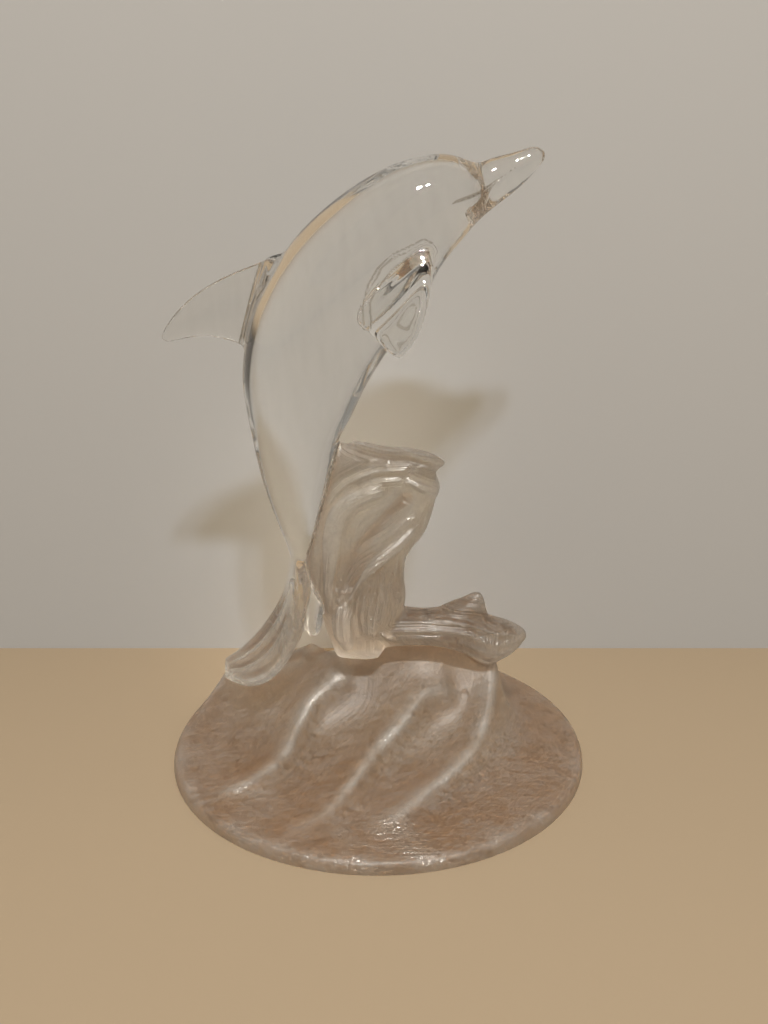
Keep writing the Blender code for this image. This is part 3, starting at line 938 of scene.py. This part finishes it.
thinned = figurine.vertex_groups.new(name="thinned")
for number, weight in enumerate(satin):
    thinned.add([number], float(weight), "REPLACE")
thin = figurine.modifiers.new("thin", "DECIMATE")
thin.ratio = SHARE_KEPT
thin.vertex_group = thinned.name
thin.vertex_group_factor = SATIN_FIRST
figurine.data = evaluated_mesh(figurine)
figurine.modifiers.clear()
figurine.vertex_groups.clear()
print("thinned skin:", len(figurine.data.vertices), "points")

# %% [markdown]
# ## Lines too fine for the mesh
# Distances to drawn lines are kept on the mesh too. The finish turns them into crisp
# furrows with painted shade in them, and fine running lines, finer than the skin's own
# faces: `mouth` for the mouth, `collar` for the collars round the flippers and the root
# of the fin, and `flow` for the running water.

# %% The lines
# The last number is the furrow's width, as a share.
MOUTH = [(17.2, 116.3, 0.5), (18.4, 116.8, 0.9), (21.2, 117.8, 1.0), (24.0, 119.0, 0.8),
         (27.9, 121.7, 0.4), (32.3, 124.3, 0.2)]
COLLARS = [
    [(-3.3, 89.6), (-3.4, 93.7), (-2.3, 98.2), (0.0, 102.1), (3.5, 105.2), (7.5, 107.0),
     (10.6, 108.5), (12.6, 107.6)],
    [(-1.5, 88.7), (-1.7, 94.4), (-0.3, 97.2), (3.4, 101.7), (6.9, 104.4), (9.7, 105.9),
     (11.7, 105.7), (12.5, 102.8)],
    [(-28.4, 102.8), (-29.9, 98.8), (-31.3, 94.0), (-32.7, 89.2), (-34.3, 83.9)],
]
BREAKER_LINE = [(-2.0, 8.0), (12.0, 8.2), (24.0, 7.2), (31.0, 4.2), (40.0, 4.4)]
print("collar lines:", len(COLLARS))


# %% Distances from the lines
FAR_OFF = 5


def from_nearest(lines, first, second):
    """Signed distance to the nearest of several lines, in millimetres."""
    nearest = np.full(first.shape, np.inf)
    signed = np.zeros(first.shape)
    for line in lines:
        across, past, side, _ = beside_line(line, first, second)
        distance = np.hypot(across, past)
        signed = np.where(distance < nearest, side * distance, signed)
        nearest = np.minimum(distance, nearest)
    return signed / MM


x, y, z = read_vectors(figurine.data, "co").T
mouth_line = side_line([(along, up) for along, up, _ in MOUTH])
mouth_line = [(*place[:2], share) for place, (_, _, share) in zip(mouth_line, MOUTH)]
across, past, _, share = beside_line(mouth_line, x, z)
mouth = np.hypot(across, past) / share / MM
collar = np.abs(from_nearest([side_line(line) for line in COLLARS], x, z))
standing_lines = [side_line(line) for _, line in WAVE_RIBS] + [side_line(BREAKER_LINE)]
standing = from_nearest(standing_lines, x, z)
lying = from_nearest([foot_line(line) for line in FOLDS], x, y)
keep_on_mesh(figurine, "mouth", np.minimum(mouth, FAR_OFF))
keep_on_mesh(figurine, "collar", np.minimum(collar, FAR_OFF))
keep_on_mesh(figurine, "flow", np.where(z > STANDING_WATER, standing, lying))

# %% [markdown]
# ## The flat underside
# The forms reach a little below the foot, and one level cut gives it a true flat face
# to stand on.


# %% Grind the underside flat
SHARP_ANGLE = math.radians(60)


def grind_flat(thing):
    form = bmesh.new()
    form.from_mesh(thing.data)
    everything = form.verts[:] + form.edges[:] + form.faces[:]
    cut = bmesh.ops.bisect_plane(
        form, geom=everything, plane_co=(0, 0, 0), plane_no=(0, 0, 1), clear_inner=True
    )
    rim = [item for item in cut["geom_cut"] if isinstance(item, bmesh.types.BMEdge)]
    bmesh.ops.contextual_create(form, geom=rim)
    bmesh.ops.recalc_face_normals(form, faces=form.faces[:])
    triangles = sum(len(face.verts) - 2 for face in form.faces)
    form.to_mesh(thing.data)
    form.free()
    return triangles


print("figurine:", grind_flat(figurine), "triangles")
figurine.data.shade_smooth()
figurine.data.set_sharp_from_angle(angle=SHARP_ANGLE)

# %% [markdown]
# ## The glass
# One Principled shader with full transmission is the glass: almost mirror smooth on the
# dolphin and rough on the water. It is mixed from masks, which run from 0 to 1 over the
# surface, and from noise. The masks come first. Some are the numbers kept on the mesh,
# and the rest are steps along a direction.

# %% The masks
SWELL_TO_WAVE = (24 * MM, 34 * MM)
FRONT_DEPTH = (-34 * MM, -44 * MM)
FRONT_LEFT = (-24 * MM, 0)
FRONT_RIGHT = (36 * MM, 16 * MM)
RIM_SQUARED = ((52 * MM) ** 2, (54.8 * MM) ** 2)

glass, tree, output = new_material("glass")


def read_attribute(name):
    return tree.node("Attribute", {"attribute_name": name}, {}, output="Fac")


place = tree.node("TexCoord", {}, {}, output="Object")
across = tree.node("SeparateXYZ", {}, {"Vector": place}, output="X")
along = tree.node("SeparateXYZ", {}, {"Vector": place}, output="Y")
height = tree.node("SeparateXYZ", {}, {"Vector": place}, output="Z")
satin = read_attribute("satin")
crest = read_attribute("crest")
flow = read_attribute("flow")
mouth = read_attribute("mouth")
collar = read_attribute("collar")
standing = height.rise(*SWELL_TO_WAVE)
front = along.rise(*FRONT_DEPTH) * across.rise(*FRONT_LEFT) * across.rise(*FRONT_RIGHT)
rim = (across * across + along * along).rise(*RIM_SQUARED)
print("the wave's finish starts at", round(SWELL_TO_WAVE[0] / MM), "mm")

# %% [markdown]
# ## Patterns
# Noise gives the glass its small unevenness: faint streaks along the body, ripples along
# the front rim, a fine grain and soft clouds. The running lines of the water are noise
# read across the drawn lines, so that they follow them.

# %% Patterns
STREAK_TILT = math.radians(25)
STREAK_SCALE = (500, 500, 70)
RIPPLE_SCALE = (200, 800, 300)
GRAIN_SCALE = 1200
CLOUD_SCALE = 90
LINES_PER_MM = 1.5
LINE_BREAKS_PER_METRE = 70


def noise_on(coordinates, scale=1.0, detail=2.0, dimensions="3D"):
    settings = {"noise_dimensions": dimensions}
    inputs = {"Vector": coordinates, "Scale": scale, "Detail": detail}
    return tree.node("TexNoise", settings, inputs)


along_body = {"Vector": place, "Rotation": (0, STREAK_TILT, 0), "Scale": STREAK_SCALE}
streaks = noise_on(tree.node("Mapping", {}, along_body))
ripples = noise_on(tree.node("Mapping", {}, {"Vector": place, "Scale": RIPPLE_SCALE}))
grain = noise_on(place, GRAIN_SCALE)
clouds = noise_on(place, CLOUD_SCALE, detail=3.0)
across_flow = {"X": flow * LINES_PER_MM, "Y": height * LINE_BREAKS_PER_METRE}
lines = noise_on(tree.node("CombineXYZ", {}, across_flow), dimensions="2D")
print("grain of about", round(1 / GRAIN_SCALE / MM, 1), "mm")

# %% [markdown]
# ## Relief
# A Bump node turns the patterns into relief, with heights in millimetres. The satin glass
# is grained and lined, most of all in the fan of ribs low on the wave. The polished glass
# only has the furrows of the mouth and of the collars. The glints need a rougher relief
# of their own, so that they break up into sparks.

# %% Relief
FAN_BOTTOM = (36 * MM, 42 * MM)
FAN_TOP = (58 * MM, 52 * MM)
GRAIN_RELIEF = 0.06
RIPPLE_RELIEF = 0.15
FOOT_LINES = 0.06
WAVE_LINES = 0.34
FAN_LINES = 0.35
FURROW_DEPTH = 0.10
MOUTH_EDGE = (0.6, 0.1)
COLLAR_EDGE = (0.45, 0.1)
CREST_EDGE = (0.0, 0.4)
SPARK_GRAIN = 0.15
CREST_SPARKS = 0.35
FRONT_SPARKS = 0.4
FRONT_RIPPLES = 0.8


def bumped(relief):
    """A normal that follows a relief in millimetres."""
    return tree.node("Bump", {}, {"Strength": 1.0, "Distance": MM, "Height": relief})


fan = height.rise(*FAN_BOTTOM) * height.rise(*FAN_TOP)
running = lines * (FOOT_LINES + standing * WAVE_LINES + fan * FAN_LINES)
relief = satin * (grain * GRAIN_RELIEF + running + ripples * front * RIPPLE_RELIEF)
furrow = (1.0 - satin) * (mouth.rise(*MOUTH_EDGE) + collar.rise(*COLLAR_EDGE)) * FURROW_DEPTH
fine = bumped(relief - furrow)
sparks = grain * (crest.rise(*CREST_EDGE) * CREST_SPARKS + front * FRONT_SPARKS + SPARK_GRAIN)
coarse = bumped(relief + sparks + ripples * front * FRONT_RIPPLES)
print("furrows", FURROW_DEPTH, "mm deep")

# %% [markdown]
# ## Tints
# The base colour of clear glass is the tint of light that has crossed it. The polished
# glass is nearly white and a little hazy in streaks, with painted shade in its furrows and
# where the wave leaves the belly. The satin glass takes a warm tint low down, a painted
# refraction of the warm surface that the real piece was seen on. Painted shade darkens its
# hollows and the low part of the wave, and a painted highlight makes its crests paler.

# %% Tints and painted light
CLEAR_TINT = (0.985, 0.985, 0.975, 1.0)
HAZY_TINT = (0.945, 0.945, 0.93, 1.0)
# Painted shade: the collar and mouth colours darken the furrows, like the dark edge lines of
# clear glass.
COLLAR_PAINTED_SHADE = (0.50, 0.47, 0.42, 1.0)
MOUTH_PAINTED_SHADE = (0.42, 0.38, 0.32, 1.0)
# Painted shade: a dark line where the wave leaves the belly.
JOIN_PAINTED_SHADE = (0.45, 0.42, 0.38, 1.0)
# Painted refraction: a warm tint low down for the warm surface seen through the foot.
BASE_PAINTED_REFRACTION = (0.76, 0.61, 0.46, 1.0)
WAVE_TINT = (0.82, 0.76, 0.67, 1.0)
# Painted shade: a darker band on the low wave and its breaking crest, which damps their glow.
LOW_WAVE_PAINTED_SHADE = (0.50, 0.41, 0.32, 1.0)
# Painted shade in the hollows, where the crest number is below zero.
HOLLOW_PAINTED_SHADE = (0.72, 0.58, 0.45, 1.0)
# Painted highlight: a paler tint on what stands out.
CREST_PAINTED_HIGHLIGHT = (0.93, 0.91, 0.88, 1.0)
WAVE_TINT_RISE = (32 * MM, 66 * MM)
LOW_WAVE_BOTTOM = (25 * MM, 31 * MM)
LOW_WAVE_TOP = (56 * MM, 40 * MM)
LOW_WAVE_SHARE = 0.85
JOIN_BOTTOM = (48 * MM, 60 * MM)

clear_tint_and_painted_shade = streaks.rise(0.35, 0.75).blend(CLEAR_TINT, HAZY_TINT)
# Painted shade along the collars and in the mouth.
clear_tint_and_painted_shade = collar.rise(0.32, 0.12).blend(clear_tint_and_painted_shade, COLLAR_PAINTED_SHADE)
clear_tint_and_painted_shade = mouth.rise(0.5, 0.3).blend(clear_tint_and_painted_shade, MOUTH_PAINTED_SHADE)
# Painted refraction of the warm surface low down, the wave's own tint higher up.
satin_tint_and_painted_light = height.rise(*WAVE_TINT_RISE).blend(BASE_PAINTED_REFRACTION, WAVE_TINT)
# Painted shade in the hollows.
satin_tint_and_painted_light = crest.rise(-0.1, -0.8).blend(satin_tint_and_painted_light, HOLLOW_PAINTED_SHADE)
# Painted highlight on the crests.
satin_tint_and_painted_light = crest.rise(0.0, 0.7).blend(satin_tint_and_painted_light, CREST_PAINTED_HIGHLIGHT)
# Painted shade low on the wave and over its breaking crest.
low_wave = height.rise(*LOW_WAVE_BOTTOM) * height.rise(*LOW_WAVE_TOP) * LOW_WAVE_SHARE
satin_tint_and_painted_light = low_wave.blend(satin_tint_and_painted_light, LOW_WAVE_PAINTED_SHADE)
# Painted shade where the wave leaves the belly.
join = satin.rise(0.05, 0.3) * satin.rise(0.95, 0.7) * height.rise(*JOIN_BOTTOM)
tint = join.blend(satin.blend(clear_tint_and_painted_shade, satin_tint_and_painted_light), JOIN_PAINTED_SHADE)
print("the satin tint goes from", BASE_PAINTED_REFRACTION[:3], "to", WAVE_TINT[:3])

# %% [markdown]
# ## Polished and satin
# Only the roughness parts the two finishes, and the satin gets smoother up the wave. It
# stays over 0.27: denoising takes smoother glass for clear and rougher glass for matt, so
# a lower value would draw a seam across the wave. What stands out on the satin glass is
# milky besides, which a plain rough shader gives, mixed in by share.

# %% Polished and satin
GLASS_IOR = 1.52
CLEAR_ROUGHNESS = 0.02
WAVE_ROUGHNESS = 0.27
BASE_ROUGHNESS = 0.46
POLISH_RISE = (24 * MM, 65 * MM)
MILK_COLOUR = (0.47, 0.45, 0.42, 1.0)
MILK_ROUGHNESS = 0.5
MILK_RISE = (20 * MM, 28 * MM)
FOOT_CREST_MILK = 0.34
WAVE_CREST_MILK = 0.10
RIM_MILK = 0.03
EVEN_MILK = 0.08

polish = height.rise(*POLISH_RISE) * (BASE_ROUGHNESS - WAVE_ROUGHNESS)
solid = tree.node(
    "BsdfPrincipled",
    {},
    {
        "Base Color": tint,
        "Roughness": satin * (BASE_ROUGHNESS - polish) + CLEAR_ROUGHNESS,
        "IOR": GLASS_IOR,
        "Transmission Weight": 1.0,
        "Normal": fine,
    },
)
milk_look = {"Base Color": MILK_COLOUR, "Roughness": MILK_ROUGHNESS, "Normal": fine}
milk = tree.node("BsdfPrincipled", {}, milk_look)
texture = (grain - 0.5) * 0.5 + (clouds - 0.5) * 0.35 + (ripples - 0.5) * 0.35
broken = clouds.rise(0.38, 0.60) * 0.7 + 0.45
less = height.rise(*MILK_RISE) * (FOOT_CREST_MILK - WAVE_CREST_MILK)
crest_milk = crest.rise(0.0, 0.8) * broken * (FOOT_CREST_MILK - less)
milkiness = satin * (crest_milk + rim * RIM_MILK + texture + EVEN_MILK)
frosted = tree.node("MixShader", {}, {0: milkiness, 1: solid, 2: milk})
print("glass: index", GLASS_IOR)

# %% [markdown]
# ## Glints
# Frosted glass sparkles where tiny faces of it mirror a lamp. A small share of a mirror
# with the coarse relief gives such sparks on the crests and near the front rim.

# %% Glints
GLINT_COLOUR = (0.9, 0.88, 0.85, 1.0)
GLINT_ROUGHNESS = 0.15
CREST_GLINTS = 0.09
FRONT_GLINTS = 0.10

glint_look = {
    "Base Color": GLINT_COLOUR,
    "Metallic": 1.0,
    "Roughness": GLINT_ROUGHNESS,
    "Normal": coarse,
}
glint = tree.node("BsdfPrincipled", {}, glint_look)
patches = clouds.rise(0.44, 0.56)
glints = satin * (crest.rise(*CREST_EDGE) * CREST_GLINTS + front * FRONT_GLINTS) * patches
body = tree.node("MixShader", {}, {0: glints, 1: frosted, 2: glint})
print("glints take up to", FRONT_GLINTS + CREST_GLINTS, "of the surface")

# %% [markdown]
# ## The veil
# Rays from lamps pass as if there were nothing but a grey veil, which gives the soft
# light shadow of real glass. The satin glass has a darker veil than the polished glass,
# and the foot the darkest, because rough glass already scatters the lamps' light itself.

# %% The veil
CLEAR_VEIL = (0.80, 0.75, 0.66, 1.0)
WAVE_VEIL = (0.46, 0.40, 0.33, 1.0)
BASE_VEIL = (0.22, 0.18, 0.14, 1.0)
VEIL_RISE = (30 * MM, 62 * MM)

clear_veil, wave_veil, base_veil = (
    tree.node("BsdfTransparent", {}, {"Color": colour})
    for colour in (CLEAR_VEIL, WAVE_VEIL, BASE_VEIL)
)
up_wave = height.rise(*VEIL_RISE)
satin_veil = tree.node("MixShader", {}, {0: up_wave, 1: base_veil, 2: wave_veil})
veil = tree.node("MixShader", {}, {0: satin, 1: clear_veil, 2: satin_veil})
for_lamps = tree.node("LightPath", {}, {}, output="Is Shadow Ray")
surface = tree.node("MixShader", {}, {0: for_lamps, 1: body, 2: veil})
glass.node_tree.links.new(surface.socket, output.inputs["Surface"])
figurine.data.materials.clear()
figurine.data.materials.append(glass)
print("glass material:", len(glass.node_tree.nodes), "nodes")

# %% [markdown]
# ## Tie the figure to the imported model
# The finished skin stands for the model's one node, and moves with its one body.

# %% Finish
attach(figurine, "root")
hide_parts("dolphin_figurine")
